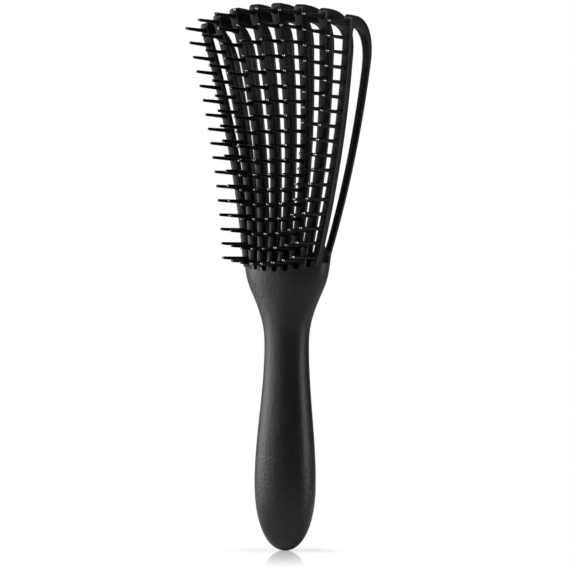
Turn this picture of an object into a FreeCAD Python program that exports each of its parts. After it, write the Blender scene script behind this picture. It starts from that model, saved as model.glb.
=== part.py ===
import FreeCAD, Part
import math
import os

# A detangling brush: a two-shell handle and a fan of flexible rows.
# Each row is a rib that carries a file of pins and a strap that loops back from the rib's top.
# Lengths are in millimetres. The origin is the butt end of the handle, on its axis.
# +Z runs up the handle to the head, the pins point along -Y, and +X is across the brush.

# Head: how the rows are laid out
brush_length = 237.2            # butt end to the top of the middle rows
row_count = 8
rib_inset = 3.3                 # outermost rib's centre in from the shoulder's edge, at its hinge
top_half_span = 37.4            # outermost rib's centre from the middle, at its top
spread_share = 0.06             # how much the pitch tightens towards the outer rows
front_reach = 9.5               # front of the shoulder's middle, ahead of the handle's axis
bow = 2.7                       # how far the shoulder's ends stand behind its middle
hinge_drop = 3.6                # hinge of the middle ribs below the shoulder's height
hinge_rise = 2.8                # how much higher the outer hinges sit
top_drop = 6.0                  # how much lower the outer rows end

# Ribs
rib_base_width = 2.4
rib_top_width = 4.1             # middle ribs, at the top
rib_top_narrowing = 0.4         # how much narrower the outer ribs are at the top
rib_base_depth = 6.0
rib_middle_depth = 4.5
rib_top_depth = 2.2
rib_hollow_radius = 185.0       # the ribs' fronts are hollow along their length
rib_hollow_widening = 124.0     # how much larger that radius is on the outer ribs
rib_top_reach = 10.4            # top of the middle ribs' fronts ahead of their feet
rib_top_reach_drop = 5.2        # how much less the outer ribs reach forwards
hinge_depth = 4.2               # hinge axis behind the foot of the rib's front
rib_foot = 3.35                 # lower end of the rib above its hinge
tongue_thickness = 1.2
bead_radius = 1.3
flex_back = 5.0                 # degrees that a row gives backwards
flex_forward = 2.0              # degrees that a row gives forwards

# Pins
pin_length = 15.7
low_pin_lengthening = 3.0       # how much longer the lowest pins of the outer rows are
pin_base_radius = 0.88
pin_tip_radius = 0.6
pin_root = 1.2                  # how deep a pin starts in the rib before it is cut to the rib's face
first_pin = 4.6                 # lowest pin above the hinge
last_pin = 3.8                  # highest pin below the row's top
outer_pin_count = 17
inner_pin_count = 18
inner_row_share = 0.6           # rows nearer the middle than this share have the larger count

# Straps
strap_thickness = 1.4
strap_cap = 5.2                 # thickness over the rib's top
strap_shoulder = 3.0            # thickness where the bend begins
strap_corner = 2.4              # rounding over the rib's top edge
strap_bend = 18.0               # outer radius of the bend at the back
strap_sweep_share = 2.462620932 # outer radius of the long curve down the back, of the head's height
strap_reach = 13.0              # furthest point of that curve behind the handle's axis
strap_crown_share = 0.615655233 # that point above the hinges, of the head's height
strap_foot = 9.5                # lower end of the strap above the hinge

# Handle
palm_height = 29.8
palm_width = 28.0
palm_thickness = 21.0
neck_width = 20.2
neck_thickness = 16.0
neck_set_back = 0.9             # middle of the neck behind the handle's axis
shoulder_height = 123.5
neck_drop = 34.8                # narrowest part of the neck below the shoulder's height
shoulder_width = 41.0
shoulder_thickness = 16.0
shoulder_delay_power = 1.3      # how late the neck widens into the shoulder
butt_power = 2.2                # bluntness of the butt end
oval_power = 2.2                # roundness of the grip's section
shoulder_power = 2.6            # squareness of the shoulder's section
wall = 2.2
parting_gap = 0.1               # seam between the two shells
front_stub = 3.0                # top of the front shell's stubs above the hinges
back_stub = 8.0                 # top of the back shell's stubs above the hinges
front_slot_floor = 1.3          # lowest point of the front slots above the hinges
back_slot_floor = 4.0           # lowest point of the back slots above the hinges

# Locating pegs inside the handle
peg_height_shares = (0.26, 0.62, 0.97)  # of the neck's height
peg_radius = 1.6
peg_reach = 3.2                 # how far a peg passes the seam
socket_wall = 1.5
socket_floor = 1.0              # free depth past the peg's end

# Anchor that holds the ribs' hinge beads
anchor_depth = 15.0             # underside of the anchor below the shoulder's height
anchor_top = 2.2                # top of the anchor above the hinges

# Clearances
running_clearance = 0.06        # bead in its socket
side_clearance = 0.2            # bead's ends in the socket
tongue_clearance = 0.25
peg_clearance = 0.08
anchor_clearance = 0.15
swing_clearance = 0.35          # rib's sides in the back shell
swing_depth = 1.3               # room behind the rib's foot when it gives backwards
overrun = 20.0                  # how far cutters run past what they cut
weld = 0.4                      # how far fused features sink into each other

under_shares = (0, 0.25, 0.5, 0.75, 1)  # points of the bend's inner curve
ring_steps = 28                 # spline points round a section of the handle
seam_steps = 6
seam_reach_share = 0.75         # the seam's cutter reaches this share of the shoulder's width each way
butt_stations = 8
body_stations = 18

# Sizes and heights that follow from the shoulder's
base_half_span = shoulder_width / 2 - rib_inset
head_height = brush_length - shoulder_height
strap_sweep = strap_sweep_share * head_height
strap_crown = strap_crown_share * head_height
hinge_height = shoulder_height - hinge_drop
neck_height = shoulder_height - neck_drop
anchor_foot = shoulder_height - anchor_depth
peg_heights = [share * neck_height for share in peg_height_shares]
shoulder_middle = shoulder_thickness / 2 - front_reach


def vec(x, y, z):
    return FreeCAD.Vector(x, y, z)


def mix(low, high, share):
    return low + (high - low) * share


def ease(share):
    return share * share * (3 - 2 * share)


def polygon(points):
    return Part.Face(Part.makePolygon(list(points) + [points[0]]))


# Layout of the rows: place runs from -1 on one side to +1 on the other

def spread(place):
    return (1 + spread_share) * place - spread_share * place ** 3


def hinge_z(place):
    return hinge_height + hinge_rise * place ** 2


def bulge(x, half, power):
    return (1 - abs(x / half) ** power) ** (1 / power)


def shoulder_face(x, side):
    half = shoulder_width / 2
    swell = side * shoulder_thickness / 2 * bulge(x, half, shoulder_power)
    return shoulder_middle + bow * (x / half) ** 2 + swell


class Row:
    def __init__(self, number):
        self.name = "row_%d" % number
        place = (2 * number - row_count - 1) / (row_count - 1)
        foot_x = base_half_span * spread(place)
        across = top_half_span * spread(place) - foot_x
        rise = brush_length - top_drop * place ** 2 - hinge_z(place)
        front = shoulder_face(foot_x, -1)
        self.place = place
        self.lean = math.degrees(math.atan2(across, rise))
        self.length = math.hypot(across, rise)
        self.top_width = rib_top_width - rib_top_narrowing * place ** 2
        self.pin_count = inner_pin_count if abs(place) < inner_row_share else outer_pin_count
        self.hinge = vec(foot_x, front + hinge_depth, hinge_z(place))
        self.seat = FreeCAD.Placement(self.hinge, FreeCAD.Rotation(vec(0, 1, 0), self.lean))
        self.hollow_radius = rib_hollow_radius + rib_hollow_widening * place ** 2
        foot = vec(0, -hinge_depth, rib_foot)
        top = vec(0, -hinge_depth - rib_top_reach + rib_top_reach_drop * place ** 2, self.length)
        chord = top - foot
        ahead = vec(0, -chord.z, chord.y).normalize()
        reach = math.sqrt(self.hollow_radius ** 2 - (chord.Length / 2) ** 2)
        self.hollow = (foot + top) * 0.5 + ahead * reach

    def front(self, height):
        return self.hollow.y + math.sqrt(self.hollow_radius ** 2 - (height - self.hollow.z) ** 2)

    def width(self, height):
        return mix(rib_base_width, self.top_width, height / self.length)

    def put(self, shape):
        shape.Placement = self.seat.multiply(shape.Placement)
        return shape


rows = [Row(number + 1) for number in range(row_count)]


# Ribs: local x is across the rib, y is backwards and z runs up it from the hinge

def bead(radius, width):
    return Part.makeCylinder(radius, width, vec(-width / 2, 0, 0), vec(1, 0, 0))


def outline(row):
    top, near = row.length, -2 * overrun
    half, top_half = rib_base_width / 2, row.top_width / 2
    corners = [(-half, 0), (half, 0), (top_half, top), (top_half, top + overrun),
               (-top_half, top + overrun), (-top_half, top)]
    return polygon([vec(x, near, z) for x, z in corners]).extrude(vec(0, 4 * overrun, 0))


def rib(row):
    top = row.length - strap_cap
    heights = [mix(rib_foot, top, share) for share in (0, 0.5, 1)]
    depths = [rib_base_depth, rib_middle_depth, rib_top_depth]
    fronts = [vec(0, row.front(z), z) for z in heights]
    backs = [place + vec(0, depth, 0) for place, depth in zip(fronts, depths)]
    side = Part.Face(Part.Wire([
        Part.Arc(*fronts).toShape(),
        Part.makeLine(fronts[2], backs[2]),
        Part.Arc(*reversed(backs)).toShape(),
        Part.makeLine(backs[0], fronts[0]),
    ]))
    side.translate(vec(-row.top_width / 2, 0, 0))
    blade = side.extrude(vec(row.top_width, 0, 0)).common(outline(row))
    tongue = Part.makeBox(rib_base_width, tongue_thickness, rib_foot + weld)
    tongue.translate(vec(-rib_base_width / 2, -tongue_thickness / 2, 0))
    foot = tongue.fuse(bead(bead_radius, rib_base_width))
    return row.put(blade.fuse(foot).removeSplitter())


def bead_socket(row):
    width = rib_base_width + 2 * side_clearance
    half = tongue_thickness / 2 + tongue_clearance
    height = front_stub + weld
    swing = math.tan(math.radians(flex_back))
    slot = polygon([
        vec(-width / 2, -half, 0),
        vec(-width / 2, half, 0),
        vec(-width / 2, half + height * swing, height),
        vec(-width / 2, -half - height * swing, height),
    ]).extrude(vec(width, 0, 0))
    return row.put(slot.fuse(bead(bead_radius + running_clearance, width)))


# Pins stand on the rib's front face and all point the same way

def pin(length):
    shank = length - pin_tip_radius
    slant = pin_tip_radius * math.sqrt(0.5)
    base, edge = vec(0, pin_root, 0), vec(pin_base_radius, pin_root, 0)
    neck, tip = vec(pin_tip_radius, -shank, 0), vec(0, -length, 0)
    profile = Part.Wire([
        Part.makeLine(base, edge),
        Part.makeLine(edge, neck),
        Part.Arc(neck, vec(slant, -shank - slant, 0), tip).toShape(),
        Part.makeLine(tip, base),
    ])
    return Part.Face(profile).revolve(base, vec(0, 1, 0), 360)


def pins(row, carriers):
    pitch = (row.length - last_pin - first_pin) / (row.pin_count - 1)
    solids = []
    for index in range(row.pin_count):
        height = first_pin + index * pitch
        low_share = (1 - index / (row.pin_count - 1)) ** 2 * row.place ** 4
        solid = pin(pin_length + low_pin_lengthening * low_share)
        solid.translate(vec(0, row.front(height), height))
        solids += row.put(solid).cut(carriers).Solids
    return Part.makeCompound(solids)


# Straps: a band over the rib's top that bends round and runs down behind it

def arc_about(centre, radius, start, end):
    places = []
    for turn in (start, (start + end) / 2, end):
        places.append(centre + vec(0, radius * math.cos(turn), radius * math.sin(turn)))
    return Part.Arc(*places).toShape()


def strap(row):
    top = row.length
    front = row.front(top - strap_cap)
    hub = vec(0, strap_reach - row.hinge.y - strap_sweep, strap_crown)
    rise = top - strap_bend - hub.z
    along = math.sqrt((strap_sweep - strap_bend) ** 2 - rise ** 2)
    bend = vec(0, hub.y + along, top - strap_bend)
    join = math.atan2(rise, along)
    foot = math.asin((strap_foot - hub.z) / strap_sweep)
    corner = vec(0, row.front(top - strap_corner) + strap_corner, top - strap_corner)
    seat = vec(0, front, top - strap_cap)
    inner = []
    for share in under_shares:
        turn, inset = mix(join, math.pi / 2, share), mix(strap_thickness, strap_shoulder, ease(share))
        inner.append(bend + vec(0, math.cos(turn), math.sin(turn)) * (strap_bend - inset))
    inner.append(seat + vec(0, rib_top_depth, 0))
    under = Part.BSplineCurve()
    under.interpolate(inner)
    curves = [
        arc_about(corner, strap_corner, math.pi, math.pi / 2),
        arc_about(bend, strap_bend, math.pi / 2, join),
        arc_about(hub, strap_sweep, join, foot),
        arc_about(hub, strap_sweep - strap_thickness, foot, join),
        under.toShape(),
    ]
    edges, last = [], seat
    for curve in curves:
        start = curve.valueAt(curve.FirstParameter)
        if last.distanceToPoint(start) > weld / 100:
            edges.append(Part.makeLine(last, start))
        edges.append(curve)
        last = curve.valueAt(curve.LastParameter)
    edges.append(Part.makeLine(last, seat))
    band = Part.Face(Part.Wire(edges)).extrude(vec(row.top_width, 0, 0))
    band.translate(vec(-row.top_width / 2, 0, 0))
    return row.put(band.common(outline(row)))


# Handle: sections are ovals that flatten and bow into the shoulder

def handle_size(z):
    if z <= palm_height:
        swell = (1 - (1 - z / palm_height) ** butt_power) ** (1 / butt_power)
        return palm_width * swell, palm_thickness * swell, 0, 0
    if z <= neck_height:
        share = ease((z - palm_height) / (neck_height - palm_height))
        thickness = mix(palm_thickness, neck_thickness, share)
        return mix(palm_width, neck_width, share), thickness, 0, neck_set_back * share
    if z <= shoulder_height:
        share = ease(((z - neck_height) / (shoulder_height - neck_height)) ** shoulder_delay_power)
        thickness = mix(neck_thickness, shoulder_thickness, share)
        middle = mix(neck_set_back, shoulder_middle, share)
        return mix(neck_width, shoulder_width, share), thickness, share, middle
    outer_lean = math.tan(math.radians(rows[-1].lean))
    width = shoulder_width + 2 * (z - shoulder_height) * outer_lean
    return width, shoulder_thickness, 1, shoulder_middle


def handle_ring(z, inset):
    width, thickness, share, middle = handle_size(z)
    half, deep = width / 2 - inset, thickness / 2 - inset
    power = mix(oval_power, shoulder_power, share)
    points = []
    for step in range(ring_steps):
        angle = 2 * math.pi * step / ring_steps
        along, up = math.sin(angle), math.cos(angle)
        x = half * math.copysign(abs(along) ** (2 / power), along)
        y = deep * math.copysign(abs(up) ** (2 / power), up)
        points.append(vec(x, middle + bow * share * (x / half) ** 2 + y, z))
    ring = Part.BSplineCurve()
    knots = [float(step) for step in range(ring_steps + 1)]
    ring.interpolate(Points=points, PeriodicFlag=True, Parameters=knots)
    return Part.Wire([ring.toShape()])


def handle_heights(first):
    butt = [palm_height * (1 - math.cos(math.pi / 2 * (i + 1) / butt_stations)) for i in range(butt_stations)]
    top = hinge_z(1) + back_stub + weld + front_stub
    body = [mix(palm_height, top, (i + 1) / body_stations) for i in range(body_stations)]
    return [z for z in butt + body if z > first]


def handle_block():
    tip = Part.Vertex(vec(0, 0, 0))
    return Part.makeLoft([tip] + [handle_ring(z, 0) for z in handle_heights(0)], True)


def cavity(inset):
    return Part.makeLoft([handle_ring(z, inset) for z in handle_heights(2 * inset)], True)


def seam_section(z):
    width, thickness, share, middle = handle_size(max(z, weld))
    points = []
    for step in range(2 * seam_steps + 1):
        x = shoulder_width * (step / seam_steps - 1) * seam_reach_share
        points.append(vec(x, middle + bow * share * (2 * x / width) ** 2, z))
    curve = Part.BSplineCurve()
    curve.interpolate(Points=points, Parameters=[float(step) for step in range(len(points))])
    left, right = points[0], points[-1]
    far_left, far_right = vec(left.x, -2 * overrun, z), vec(right.x, -2 * overrun, z)
    rest = [Part.makeLine(right, far_right), Part.makeLine(far_right, far_left), Part.makeLine(far_left, left)]
    return Part.Wire([curve.toShape()] + rest)


def ahead_of_seam(shift):
    space = Part.makeLoft([seam_section(z) for z in [-overrun] + handle_heights(0)], True)
    space.translate(vec(0, shift, 0))
    return space


def above(height):
    reach = shoulder_width
    edge = height + hinge_height + hinge_rise * (reach / base_half_span) ** 2
    crown = edge + 2 * overrun
    left, right = vec(-reach, -2 * overrun, edge), vec(reach, -2 * overrun, edge)
    dip = vec(0, -2 * overrun, hinge_height + height)
    lid = Part.Wire([
        Part.Arc(left, dip, right).toShape(),
        Part.makeLine(right, vec(reach, -2 * overrun, crown)),
        Part.makeLine(vec(reach, -2 * overrun, crown), vec(-reach, -2 * overrun, crown)),
        Part.makeLine(vec(-reach, -2 * overrun, crown), left),
    ])
    return Part.Face(lid).extrude(vec(0, 4 * overrun, 0))


def slots(floor):
    cutters = []
    for near, far in zip(rows, rows[1:]):
        foot = (near.hinge + far.hinge) * 0.5
        slot_width = far.hinge.x - near.hinge.x - rib_base_width
        radius = slot_width / 2
        round_end = Part.makeCylinder(radius, 4 * overrun, vec(0, -2 * overrun, floor + radius), vec(0, 1, 0))
        sides = Part.makeBox(slot_width, 4 * overrun, overrun)
        sides.translate(vec(-radius, -2 * overrun, floor + radius))
        cutter = round_end.fuse(sides)
        facing = FreeCAD.Rotation(vec(0, 1, 0), (near.lean + far.lean) / 2)
        cutter.Placement = FreeCAD.Placement(foot, facing).multiply(cutter.Placement)
        cutters.append(cutter)
    return cutters


def stub_trim(row, height):
    inner, outer = rib_base_width, rib_base_width
    if abs(row.place) == 1:
        outer = overrun
    left, right = (outer, inner) if row.place < 0 else (inner, outer)
    trim = Part.makeBox(left + right, 4 * overrun, overrun)
    trim.translate(vec(-left, -2 * overrun, height))
    return row.put(trim)


def swing_room(row):
    width = rib_base_width + 2 * swing_clearance
    room = Part.makeBox(width, rib_base_depth - hinge_depth + swing_depth + tongue_thickness, overrun)
    room.translate(vec(-width / 2, -tongue_thickness, anchor_top))
    return row.put(room)


def peg(z):
    width, thickness, share, middle = handle_size(z)
    reach = thickness / 2 - wall + weld
    return Part.makeCylinder(peg_radius, reach + peg_reach, vec(0, middle - reach, z), vec(0, 1, 0))


def peg_socket(z):
    width, thickness, share, middle = handle_size(z)
    reach = thickness / 2 - wall + weld
    bore = peg_radius + peg_clearance
    foot, depth = vec(0, middle + parting_gap, z), peg_reach + socket_floor
    post = Part.makeCylinder(bore + socket_wall, reach - parting_gap, foot, vec(0, 1, 0))
    return post.cut(Part.makeCylinder(bore, depth + overrun, vec(0, middle - overrun, z), vec(0, 1, 0)))


def front_shell(hollow):
    half = handle_block().cut(hollow).common(ahead_of_seam(-parting_gap / 2))
    trims = [stub_trim(row, front_stub) for row in rows] + [bead_socket(row) for row in rows]
    return half.cut(slots(front_slot_floor) + trims).fuse([peg(z) for z in peg_heights])


def back_shell(hollow):
    half = handle_block().cut(hollow).cut(ahead_of_seam(parting_gap / 2))
    trims = [stub_trim(row, back_stub) for row in rows] + [bead_socket(row) for row in rows]
    room = [swing_room(row) for row in rows]
    return half.cut(slots(back_slot_floor) + trims + room).fuse([peg_socket(z) for z in peg_heights])


def anchor():
    block = cavity(wall + anchor_clearance).cut(above(anchor_top))
    below = Part.makeBox(4 * overrun, 4 * overrun, anchor_foot + overrun)
    below.translate(vec(-2 * overrun, -2 * overrun, -overrun))
    return block.cut(below).cut([bead_socket(row) for row in rows])


def write(node, shape):
    solids = shape.Solids
    whole = solids[0] if len(solids) == 1 else Part.makeCompound(solids)
    whole.exportStep("parts/%s.step" % node)
    valid = all(solid.isValid() for solid in solids)
    print("%-20s solids %2d  valid %s  volume %9.2f" % (node, len(solids), valid, whole.Volume))


def main():
    os.makedirs("parts", exist_ok=True)
    hollow = cavity(wall)
    write("handle_front_shell", front_shell(hollow))
    write("handle_back_shell", back_shell(hollow))
    write("rib_anchor", anchor())
    for row in rows:
        blade, band = rib(row), strap(row)
        write(row.name + "_rib", blade)
        write(row.name + "_pins", pins(row, [blade, band]))
        write(row.name + "_back_strap", band)


main()
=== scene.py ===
import math

import bmesh
import bpy
from mathutils import Matrix, Vector


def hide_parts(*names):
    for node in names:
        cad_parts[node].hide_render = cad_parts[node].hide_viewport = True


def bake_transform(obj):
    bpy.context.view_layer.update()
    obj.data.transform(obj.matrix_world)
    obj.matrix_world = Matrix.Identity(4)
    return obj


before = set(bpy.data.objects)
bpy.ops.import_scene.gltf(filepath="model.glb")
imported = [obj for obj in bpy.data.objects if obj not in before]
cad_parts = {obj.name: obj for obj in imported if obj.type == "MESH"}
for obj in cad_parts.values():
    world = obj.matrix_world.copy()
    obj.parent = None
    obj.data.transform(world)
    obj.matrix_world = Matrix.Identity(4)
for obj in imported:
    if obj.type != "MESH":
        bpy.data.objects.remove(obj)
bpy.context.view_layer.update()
print("frame loaded,", len(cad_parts), "nodes")

scene = bpy.context.scene
scene.view_settings.view_transform = "Standard"
mm = 0.001
white = (1, 1, 1, 1)


def treeTools(tree, outputKind):
    tree.nodes.clear()
    output = tree.nodes.new(outputKind)

    def add(kind, **settings):
        node = tree.nodes.new(kind)
        for key, value in settings.items():
            setattr(node, key, value)
        return node

    def link(source, socket, target, into):
        tree.links.new(source.outputs[socket], target.inputs[into])

    return add, link, output


def newMaterial(name):
    material = bpy.data.materials.new(name)
    material.use_nodes = True
    return (material, *treeTools(material.node_tree, "ShaderNodeOutputMaterial"))


def dress(piece, material):
    piece.data.materials.clear()
    piece.data.materials.append(material)


# black plastics: a fine grain over slow clouds of tint and gloss
plasticSetup = {
    "grainDetail": 3.0, "grainRoughness": 0.6, "cloudDetail": 4.0,
    "noCoat": (0.0, 1.5, 0.03),           # weight, index of refraction, roughness
}
softTouchLook = {
    "name": "softTouchBlack",
    "dark": (0.003, 0.003, 0.003, 1), "light": (0.009, 0.009, 0.009, 1),
    "grainScale": 1250.0, "cloudScale": 60.0, "grainShare": 0.6,
    "roughness": (0.27, 0.36), "ior": 1.48, "specular": 0.37,
    "bump": 0.8, "bumpDepth": 0.00028,
}
satinLook = {
    "name": "satinBlack",
    "dark": (0.004, 0.004, 0.0043, 1), "light": (0.009, 0.009, 0.0095, 1),
    "grainScale": 2600.0, "cloudScale": 90.0, "grainShare": 0.3,
    "roughness": (0.34, 0.46), "ior": 1.5, "specular": 0.32,
    "bump": 0.12, "bumpDepth": 0.00006,
}
pinLook = {
    "name": "pinBlack",
    "dark": (0.002, 0.002, 0.0022, 1), "light": (0.005, 0.005, 0.0054, 1),
    "grainScale": 2200.0, "cloudScale": 140.0, "grainShare": 0.25,
    "roughness": (0.32, 0.42), "ior": 1.48, "specular": 0.15,
    "bump": 0.06, "bumpDepth": 0.00004,
}
pinTipLook = {
    "name": "pinTipBlack",
    "dark": (0.002, 0.002, 0.0022, 1), "light": (0.005, 0.005, 0.0054, 1),
    "grainScale": 2200.0, "cloudScale": 140.0, "grainShare": 0.25,
    "roughness": (0.16, 0.24), "ior": 1.5, "specular": 0.5,
    "coat": (1.0, 3.0, 0.12),             # rounded tips catch the lamps
    "bump": 0.02, "bumpDepth": 0.00002,
}


def addGrainedPlastic(look):
    material, add, link, output = newMaterial(look["name"])
    coatWeight, coatIor, coatRoughness = look.get("coat", plasticSetup["noCoat"])
    shader = add("ShaderNodeBsdfPrincipled")
    shader.inputs["IOR"].default_value = look["ior"]
    shader.inputs["Specular IOR Level"].default_value = look["specular"]
    shader.inputs["Coat Weight"].default_value = coatWeight
    shader.inputs["Coat IOR"].default_value = coatIor
    shader.inputs["Coat Roughness"].default_value = coatRoughness
    link(shader, "BSDF", output, "Surface")
    place = add("ShaderNodeTexCoord")

    grain = add("ShaderNodeTexNoise", noise_dimensions="3D")
    grain.inputs["Scale"].default_value = look["grainScale"]
    grain.inputs["Detail"].default_value = plasticSetup["grainDetail"]
    grain.inputs["Roughness"].default_value = plasticSetup["grainRoughness"]
    link(place, "Object", grain, "Vector")
    cloud = add("ShaderNodeTexNoise", noise_dimensions="3D")
    cloud.inputs["Scale"].default_value = look["cloudScale"]
    cloud.inputs["Detail"].default_value = plasticSetup["cloudDetail"]
    link(place, "Object", cloud, "Vector")

    tint = add("ShaderNodeMix", data_type="RGBA")
    tint.inputs["A"].default_value = look["dark"]
    tint.inputs["B"].default_value = look["light"]
    blend = add("ShaderNodeMath", operation="MULTIPLY_ADD")
    blend.inputs[1].default_value = look["grainShare"]
    link(grain, "Fac", blend, 0)
    link(cloud, "Fac", blend, 2)
    link(blend, "Value", tint, "Factor")
    link(tint, "Result", shader, "Base Color")

    rough = add("ShaderNodeMapRange")
    rough.inputs["To Min"].default_value = look["roughness"][0]
    rough.inputs["To Max"].default_value = look["roughness"][1]
    link(cloud, "Fac", rough, "Value")
    link(rough, "Result", shader, "Roughness")

    bump = add("ShaderNodeBump")
    bump.inputs["Strength"].default_value = look["bump"]
    bump.inputs["Distance"].default_value = look["bumpDepth"]
    link(grain, "Fac", bump, "Height")
    link(bump, "Normal", shader, "Normal")
    return material


softTouch = addGrainedPlastic(softTouchLook)
satin = addGrainedPlastic(satinLook)
pinSatin = addGrainedPlastic(pinLook)
pinTip = addGrainedPlastic(pinTipLook)
print("materials made")

# the handle's shells and the anchor keep their CAD shapes, the rows are modelled below
for name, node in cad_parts.items():
    if not name.startswith("row_"):
        dress(node, softTouch)

# where the rows stand, as in the part's source, in millimetres
rowSetup = {
    "count": 8,
    "baseHalfSpan": 17.2, "topHalfSpan": 37.4, "spreadShare": 0.06,
    "hingeHeight": 119.9, "hingeRise": 2.8, "topHeight": 237.2, "topDrop": 6.0,
    "shoulderHalf": 20.5, "shoulderMiddle": -1.5, "shoulderDeep": 8.0, "shoulderPower": 2.6, "bow": 2.7,
    "hingeDepth": 4.2, "foot": 3.35,
    "hollowRadius": 185.0, "hollowWidening": 124.0, "topReach": 10.4, "topReachDrop": 5.2,
    "bendFrom": 4.0, "bendTo": 34.0,      # the flexible stretch above the hinge
}


def shoulderFront(x):
    share = abs(x) / rowSetup["shoulderHalf"]
    swell = (1 - share ** rowSetup["shoulderPower"]) ** (1 / rowSetup["shoulderPower"])
    return rowSetup["shoulderMiddle"] + rowSetup["bow"] * share ** 2 - rowSetup["shoulderDeep"] * swell


def layRow(number):
    setup = rowSetup
    place = (2 * number - setup["count"] - 1) / (setup["count"] - 1)   # -1 to 1 across the brush
    spread = (1 + setup["spreadShare"]) * place - setup["spreadShare"] * place ** 3
    footX = setup["baseHalfSpan"] * spread
    across = setup["topHalfSpan"] * spread - footX
    hingeZ = setup["hingeHeight"] + setup["hingeRise"] * place ** 2
    rise = setup["topHeight"] - setup["topDrop"] * place ** 2 - hingeZ
    hinge = Vector((footX, shoulderFront(footX) + setup["hingeDepth"], hingeZ))
    length = math.hypot(across, rise)
    lean = Matrix.Rotation(math.atan2(across, rise), 4, "Y")
    # the rib's front is an arc through its foot and its top
    radius = setup["hollowRadius"] + setup["hollowWidening"] * place ** 2
    foot = Vector((-setup["hingeDepth"], setup["foot"]))
    top = Vector((-setup["hingeDepth"] - setup["topReach"] + setup["topReachDrop"] * place ** 2, length))
    chord = top - foot
    ahead = Vector((-chord.y, chord.x)).normalized()
    hollow = (foot + top) / 2 + ahead * math.sqrt(radius ** 2 - (chord.length / 2) ** 2)
    return {"name": "row_%d" % number, "place": place, "length": length, "hinge": hinge, "radius": radius,
            "hollow": hollow, "seat": Matrix.Translation(hinge * mm) @ lean}


def ribFront(row, height):
    height = max(height, rowSetup["foot"])
    return row["hollow"].x + math.sqrt(row["radius"] ** 2 - (height - row["hollow"].y) ** 2)


# a rib and its strap are one band that loops over at the top, in millimetres
bandSetup = {
    "root": 1.2, "rootInset": 0.08,       # the band starts inside the shoulder's stub
    "baseWidth": 2.8, "topWidth": 4.1, "topNarrowing": 0.4,
    "depths": (3.4, 3.4, 2.2),            # rib from front to back at its foot, middle and top
    "heel": 4.2, "heelTop": 6.4, "heelEnd": 10.5,   # thickening at the root
    "strap": 1.4, "cap": 8.4, "capThinning": 3.2, "corner": 2.4, "fillet": 2.5, "filletEase": 0.1,
    "fall": 22.0, "squareness": 0.72, "outerEasing": 0.18,   # how the loop's top falls to the strap
    "sweep": 280.0, "reach": 13.0, "crown": 70.0, "strapRoot": 6.6,
    "ribSteps": 15, "cornerSteps": 4, "bendSteps": 11, "strapSteps": 14,
    "edge": 0.36, "edgeSegments": 2, "edgeAngle": 50, "smoothAngle": 38,
}


def arcPoints(centre, radius, start, end, steps):
    points = []
    for step in range(steps + 1):
        turn = start + (end - start) * step / steps
        points.append(centre + Vector((math.cos(turn), math.sin(turn))) * radius)
    return points


def ribDepth(share):
    low, middle, high = bandSetup["depths"]
    bulge = 4 * (middle - (low + high) / 2)
    return low + (high - low) * share + bulge * share * (1 - share)


def ribStations(row, cap, ribTop):
    setup, foot = bandSetup, rowSetup["foot"]
    heights = [setup["root"], foot, setup["heelTop"], setup["heelEnd"]]
    for step in range(1, setup["ribSteps"]):
        heights.append(setup["heelEnd"] + (ribTop - setup["heelEnd"]) * step / setup["ribSteps"])
    stations = []
    for height in heights:
        front = ribFront(row, height)
        share = max(0, height - foot) / (row["length"] - cap - foot)
        heel = min(1, max(0, (setup["heelEnd"] - height) / (setup["heelEnd"] - setup["heelTop"])))
        back = front + ribDepth(share) + setup["heel"] * heel ** 2
        inset = setup["rootInset"] if height <= foot else 0
        stations.append((Vector((front + inset, height)), Vector((back, height))))
    return stations


def bandStations(row):
    # pairs of an outer and an inner point (backwards, up), from the rib's root
    # round the loop to the strap's root
    setup = bandSetup
    top, strap = row["length"], setup["strap"]
    cap = setup["cap"] - setup["capThinning"] * row["place"] ** 2
    squareness = setup["squareness"] + setup["outerEasing"] * row["place"] ** 2
    ribTop = top - cap - setup["fillet"]
    stations = ribStations(row, cap, ribTop)
    # the strap down the back, and the loop's top that falls away from the rib's front corner to it
    hub = Vector((setup["reach"] - row["hinge"].y - setup["sweep"], setup["crown"]))
    join = math.asin((top - setup["fall"] - hub.y) / setup["sweep"])
    end = math.asin((setup["strapRoot"] - hub.y) / setup["sweep"])
    corner = Vector((ribFront(row, top - setup["corner"]) + setup["corner"], top - setup["corner"]))
    reach = hub.x + setup["sweep"] * math.cos(join) - corner.x
    bendOuter, bendInner = [], []
    for step in range(setup["bendSteps"] + 1):
        turn = math.pi / 2 * step / setup["bendSteps"]
        across, drop = abs(math.sin(turn)) ** squareness, 1 - abs(math.cos(turn)) ** squareness
        bendOuter.append(Vector((corner.x + reach * across, top - setup["fall"] * drop)))
    for step in range(1, setup["bendSteps"]):
        along = (bendOuter[step + 1] - bendOuter[step - 1]).normalized()
        share = 1 - step / setup["bendSteps"]
        inset = strap + (cap - strap) * share
        bendInner.append(bendOuter[step] + Vector((along.y, -along.x)) * inset)
    # over the rib's top: a rounded front corner outside, a fillet inside
    over = [Vector((ribFront(row, height), height)) for height in (ribTop, top - cap)]
    over += arcPoints(corner, setup["corner"], math.pi, math.pi / 2, setup["cornerSteps"])
    topDepth = setup["depths"][2]
    pit = Vector((ribFront(row, top - cap) + topDepth, top - cap))
    low = Vector((ribFront(row, ribTop) + topDepth + setup["filletEase"], ribTop))
    high = pit + (bendInner[0] - pit).normalized() * setup["fillet"]
    for step, outer in enumerate(over):
        share = step / (len(over) - 1)
        stations.append((outer, low * (1 - share) ** 2 + pit * 2 * share * (1 - share) + high * share ** 2))
    stations += list(zip(bendOuter[1:-1], bendInner))
    outer = arcPoints(hub, setup["sweep"], join, end, setup["strapSteps"])
    within = arcPoints(hub, setup["sweep"] - strap, join, end, setup["strapSteps"])
    return stations + list(zip(outer, within))


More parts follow.
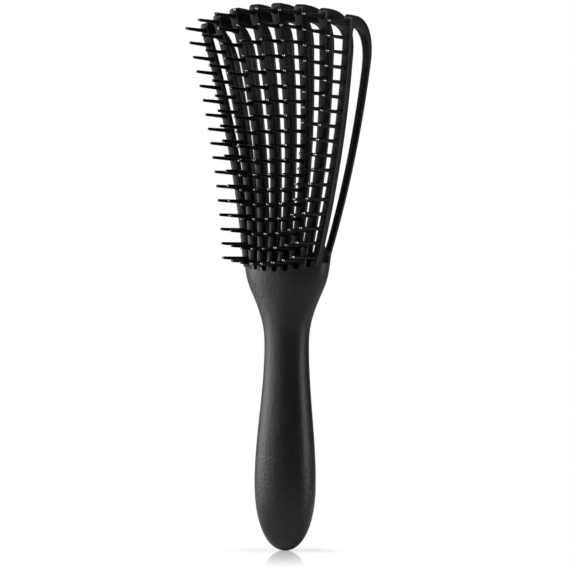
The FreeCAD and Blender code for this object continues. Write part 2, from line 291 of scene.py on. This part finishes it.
def bandWidth(row, height):
    setup = bandSetup
    topWidth = setup["topWidth"] - setup["topNarrowing"] * row["place"] ** 2
    return setup["baseWidth"] + (topWidth - setup["baseWidth"]) * max(0, height) / row["length"]


def applyModifiers(piece):
    bpy.context.view_layer.objects.active = piece
    for modifier in list(piece.modifiers):
        bpy.ops.object.modifier_apply(modifier=modifier.name)


def modelBand(row):
    # a face at the rib's root is extruded from station to station round the loop
    stations = bandStations(row)
    outer, inner = stations[0]
    width = bandWidth(row, outer.y)
    bpy.ops.object.select_all(action="DESELECT")
    bpy.ops.mesh.primitive_plane_add(size=1, location=(0, 0, 0))
    band = bpy.context.active_object
    band.name = row["name"] + "_band"
    bpy.ops.object.mode_set(mode="EDIT")
    bpy.ops.mesh.select_mode(type="VERT")
    bpy.ops.transform.resize(value=(width * mm, (inner.x - outer.x) * mm, 1))
    bpy.ops.transform.translate(value=(0, (inner.x + outer.x) / 2 * mm, outer.y * mm))
    for nextOuter, nextInner in stations[1:]:
        outerShift, innerShift = (nextOuter - outer) * mm, (nextInner - inner) * mm
        bpy.ops.mesh.extrude_region_move(TRANSFORM_OT_translate={"value": (0, outerShift.x, outerShift.y)})
        # the two outer corners are in place, so only the inner two move on
        mesh = bmesh.from_edit_mesh(band.data)
        ring = [vert for vert in mesh.verts if vert.select]
        ring.sort(key=lambda vert: (Vector(vert.co.yz) - nextOuter * mm).length)
        for vert in ring[:2]:
            vert.select = False
        mesh.select_flush_mode()
        bmesh.update_edit_mesh(band.data)
        extra = innerShift - outerShift
        bpy.ops.transform.translate(value=(0, extra.x, extra.y))
        # then all four are set to the band's width here
        mesh = bmesh.from_edit_mesh(band.data)
        mesh.verts.ensure_lookup_table()
        for vert in mesh.verts[-4:]:
            vert.select = True
        mesh.select_flush_mode()
        bmesh.update_edit_mesh(band.data)
        nextWidth = bandWidth(row, nextOuter.y)
        bpy.ops.transform.resize(value=(nextWidth / width, 1, 1), center_override=(0, 0, 0))
        outer, inner, width = nextOuter, nextInner, nextWidth
    bpy.ops.mesh.select_all(action="SELECT")
    bpy.ops.mesh.normals_make_consistent(inside=False)
    bpy.ops.object.mode_set(mode="OBJECT")
    rounded = band.modifiers.new("roundedEdges", "BEVEL")
    rounded.width = bandSetup["edge"] * mm
    rounded.segments = bandSetup["edgeSegments"]
    rounded.limit_method = "ANGLE"
    rounded.angle_limit = math.radians(bandSetup["edgeAngle"])
    applyModifiers(band)
    band.matrix_world = row["seat"]
    bpy.ops.object.transform_apply(location=True, rotation=True, scale=True)
    bpy.ops.object.shade_smooth_by_angle(angle=math.radians(bandSetup["smoothAngle"]))
    return band


# pins: places along the pin and radii from its flared foot to its tip, in millimetres
pinSetup = {
    "sides": 8, "smoothAngle": 60,
    "rings": ((0.5, 1.25), (-0.3, 1.02), (-0.9, 0.88), (-14.2, 0.64), (-14.8, 0.52), (-15.15, 0.26)),
    "tipFrom": -14.3, "length": 15.2, "lowLengthening": 3.0,
    "first": 4.6, "last": 3.8, "innerCount": 18, "outerCount": 17, "innerShare": 0.6,
}


def modelPin(setup):
    # one pin along -Y: a disc drawn out ring by ring
    (start, radius), rings = setup["rings"][0], setup["rings"][1:]
    bpy.ops.object.select_all(action="DESELECT")
    bpy.ops.mesh.primitive_circle_add(vertices=setup["sides"], radius=radius * mm, fill_type="NGON",
                                      location=(0, 0, 0), rotation=(math.pi / 2, 0, 0))
    pin = bpy.context.active_object
    bpy.ops.object.transform_apply(location=True, rotation=True, scale=True)
    bpy.ops.object.mode_set(mode="EDIT")
    bpy.ops.transform.translate(value=(0, start * mm, 0))
    for depth, nextRadius in rings:
        bpy.ops.mesh.extrude_region_move(TRANSFORM_OT_translate={"value": (0, (depth - start) * mm, 0)})
        ratio = nextRadius / radius
        bpy.ops.transform.resize(value=(ratio, 1, ratio), center_override=(0, depth * mm, 0))
        start, radius = depth, nextRadius
    bpy.ops.mesh.select_all(action="SELECT")
    bpy.ops.mesh.normals_make_consistent(inside=False)
    bpy.ops.object.mode_set(mode="OBJECT")
    bpy.ops.object.shade_smooth_by_angle(angle=math.radians(setup["smoothAngle"]))
    dress(pin, pinSatin)
    pin.data.materials.append(pinTip)
    for face in pin.data.polygons:
        face.material_index = 1 if face.center.y < setup["tipFrom"] * mm else 0
    return pin


def modelPins(row, pattern):
    setup = pinSetup
    count = setup["innerCount"] if abs(row["place"]) < setup["innerShare"] else setup["outerCount"]
    pitch = (row["length"] - setup["last"] - setup["first"]) / (count - 1)
    copies = []
    for index in range(count):
        height = setup["first"] + index * pitch
        lowShare = (1 - index / (count - 1)) ** 2 * row["place"] ** 4
        pin = pattern.copy()
        pin.data = pattern.data.copy()
        scene.collection.objects.link(pin)
        pin.location = row["seat"] @ Vector((0, ribFront(row, height) * mm, height * mm))
        pin.scale.y = 1 + setup["lowLengthening"] * lowShare / setup["length"]
        copies.append(pin)
    bpy.ops.object.select_all(action="DESELECT")
    for pin in copies:
        pin.select_set(True)
    bpy.context.view_layer.objects.active = copies[0]
    bpy.ops.object.join()
    pinFile = bpy.context.active_object
    pinFile.name = row["name"] + "_pinFile"
    bpy.ops.object.transform_apply(location=True, rotation=True, scale=True)
    return pinFile


rows = [layRow(number) for number in range(1, rowSetup["count"] + 1)]
patternPin = modelPin(pinSetup)
for row in rows:
    band = modelBand(row)
    dress(band, satin)
    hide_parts(row["name"] + "_rib", row["name"] + "_back_strap")
    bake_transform(band)
    pins = modelPins(row, patternPin)
    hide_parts(row["name"] + "_pins")
    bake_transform(pins)
bpy.data.objects.remove(patternPin)
print("rows modelled")

# photo frame and viewing angle
cameraSetup = {
    "imageWidth": 569, "imageHeight": 567,
    "azimuth": 32.7,              # degrees to the right of the brush's front
    "elevation": -0.7, "roll": -0.2,
    "distance": 1.41, "metresPerPixel": 0.000436,
    "aimHeight": 0.1164,
    "aimPixel": (285.8, 283.2),   # where the aim point lands in the photo
    "sensor": 36.0,
}


def addCamera(setup):
    azimuth, elevation = math.radians(setup["azimuth"]), math.radians(setup["elevation"])
    right = Vector((math.cos(azimuth), math.sin(azimuth), 0))
    back = Vector((math.sin(azimuth) * math.cos(elevation), -math.cos(azimuth) * math.cos(elevation),
                   math.sin(elevation)))
    up = back.cross(right)
    offX = (setup["aimPixel"][0] - setup["imageWidth"] / 2) * setup["metresPerPixel"]
    offY = (setup["imageHeight"] / 2 - setup["aimPixel"][1]) * setup["metresPerPixel"]
    spot = Vector((0, 0, setup["aimHeight"])) + back * setup["distance"] - right * offX - up * offY
    turn = Matrix((right, up, back)).transposed() @ Matrix.Rotation(math.radians(-setup["roll"]), 3, "Z")
    data = bpy.data.cameras.new("photoCamera")
    data.sensor_fit = "HORIZONTAL"
    data.sensor_width = setup["sensor"]
    data.lens = setup["sensor"] * setup["distance"] / (setup["imageWidth"] * setup["metresPerPixel"])
    camera = bpy.data.objects.new("photoCamera", data)
    scene.collection.objects.link(camera)
    camera.matrix_world = Matrix.Translation(spot) @ turn.to_4x4()
    scene.camera = camera


# white for the camera, with a contact shadow and a polished patch that mirrors the butt end
floorSetup = {
    "size": 8.0,
    "colour": (0.93, 0.93, 0.935, 1),
    "shadowRadius": 0.03, "shadow": 0.45,
    "polishRadius": 0.11,         # the patch runs this far from the butt end
    "polishTurn": cameraSetup["azimuth"] - 90,   # from +X, so that it points to the camera
    "polishNarrowing": 0.22,      # width of the patch against its length
    "polish": 0.68,               # share of the floor's own gloss
    "ior": 1.5, "mirrorRoughness": 0.05,
    "fullShare": 0.2,             # shadow and polish are full within this share of their radius
}


def addFloor(setup):
    bpy.ops.object.select_all(action="DESELECT")
    bpy.ops.mesh.primitive_plane_add(size=setup["size"], location=(0, 0, 0))
    floor = bpy.context.active_object
    floor.name = "floor"
    material, add, link, output = newMaterial("paleFloor")
    place = add("ShaderNodeTexCoord")
    around = add("ShaderNodeVectorMath", operation="LENGTH")
    link(place, "Object", around, 0)
    lane = add("ShaderNodeMapping", vector_type="TEXTURE")
    lane.inputs["Rotation"].default_value = (0, 0, math.radians(setup["polishTurn"]))
    lane.inputs["Scale"].default_value = (1, setup["polishNarrowing"], 1)
    link(place, "Object", lane, "Vector")
    along = add("ShaderNodeVectorMath", operation="LENGTH")
    link(lane, "Vector", along, 0)

    def within(distance, radius, most):
        mask = add("ShaderNodeMapRange", interpolation_type="SMOOTHSTEP")
        mask.inputs["From Min"].default_value = radius
        mask.inputs["From Max"].default_value = radius * setup["fullShare"]
        mask.inputs["To Max"].default_value = most
        link(distance, "Value", mask, "Value")
        return mask

    def blend(share, socket, first, firstSocket, second, secondSocket):
        mix = add("ShaderNodeMixShader")
        link(share, socket, mix, "Fac")
        link(first, firstSocket, mix, 1)
        link(second, secondSocket, mix, 2)
        return mix

    matt = add("ShaderNodeBsdfDiffuse")
    matt.inputs["Color"].default_value = setup["colour"]
    plain = add("ShaderNodeEmission")
    plain.inputs["Color"].default_value = white
    mirror = add("ShaderNodeBsdfGlossy")
    mirror.inputs["Color"].default_value = white
    mirror.inputs["Roughness"].default_value = setup["mirrorRoughness"]
    shadow = within(around, setup["shadowRadius"], setup["shadow"])
    shaded = blend(shadow, "Result", plain, "Emission", matt, "BSDF")
    gloss = add("ShaderNodeFresnel")
    gloss.inputs["IOR"].default_value = setup["ior"]
    sheen = add("ShaderNodeMath", operation="MULTIPLY")
    link(gloss, "Fac", sheen, 0)
    link(within(along, setup["polishRadius"], setup["polish"]), "Result", sheen, 1)
    polished = blend(sheen, "Value", shaded, "Shader", mirror, "BSDF")
    rays = add("ShaderNodeLightPath")
    seen = blend(rays, "Is Camera Ray", matt, "BSDF", polished, "Shader")
    link(seen, "Shader", output, "Surface")
    dress(floor, material)


# white for the camera, and for reflections that look at the backdrop
worldSetup = {
    "fill": 0.015,
    "backdrop": (-0.540, 0.842, 0.03),   # way to the backdrop
    "backdropSpread": (0.86, 0.95),
}


def addWorld(setup):
    world = bpy.data.worlds.new("whiteRoom")
    scene.world = world
    world.use_nodes = True
    add, link, output = treeTools(world.node_tree, "ShaderNodeOutputWorld")
    rays = add("ShaderNodeLightPath")
    way = add("ShaderNodeTexCoord")
    facing = add("ShaderNodeVectorMath", operation="DOT_PRODUCT")
    facing.inputs[1].default_value = setup["backdrop"]
    link(way, "Generated", facing, 0)
    spread = add("ShaderNodeMapRange")
    spread.inputs["From Min"].default_value = setup["backdropSpread"][0]
    spread.inputs["From Max"].default_value = setup["backdropSpread"][1]
    link(facing, "Value", spread, "Value")
    glossy = add("ShaderNodeMath", operation="MULTIPLY")
    link(rays, "Is Glossy Ray", glossy, 0)
    link(spread, "Result", glossy, 1)
    seen = add("ShaderNodeMath", operation="MAXIMUM")
    link(rays, "Is Camera Ray", seen, 0)
    link(glossy, "Value", seen, 1)
    fill = add("ShaderNodeBackground")
    fill.inputs["Color"].default_value = white
    fill.inputs["Strength"].default_value = setup["fill"]
    bright = add("ShaderNodeBackground")
    bright.inputs["Color"].default_value = white
    mix = add("ShaderNodeMixShader")
    link(seen, "Value", mix, "Fac")
    link(fill, "Background", mix, 1)
    link(bright, "Background", mix, 2)
    link(mix, "Shader", output, "Surface")


lampSetup = {
    "leftWall": {"at": (-0.95, -0.35, 0.40), "aim": (0, 0, 0.13), "size": (0.8, 1.0), "watts": 15.0},
    "rightStrip": {"at": (0.80, 0.28, 0.22), "aim": (0, 0, 0.12), "size": (0.06, 0.9), "watts": 5.0},
    "topCard": {"at": (-0.2, -0.45, 1.0), "aim": (0, 0, 0.2), "size": (0.5, 0.4), "watts": 1.0},
    "highSpark": {"at": (-0.15, -1.0, 1.30), "aim": (0, 0, 0.18), "size": (0.14, 0.14), "watts": 5.0},
}


def addLamps(lamps):
    for name, lamp in lamps.items():
        data = bpy.data.lights.new(name, "AREA")
        data.shape = "RECTANGLE"
        data.size, data.size_y = lamp["size"]
        data.energy = lamp["watts"]
        light = bpy.data.objects.new(name, data)
        scene.collection.objects.link(light)
        aim = Vector(lamp["aim"]) - Vector(lamp["at"])
        turn = aim.to_track_quat("-Z", "Y").to_matrix().to_4x4()
        light.matrix_world = Matrix.Translation(lamp["at"]) @ turn


addFloor(floorSetup)
addWorld(worldSetup)
addLamps(lampSetup)
addCamera(cameraSetup)
print("stage, lamps and camera set")
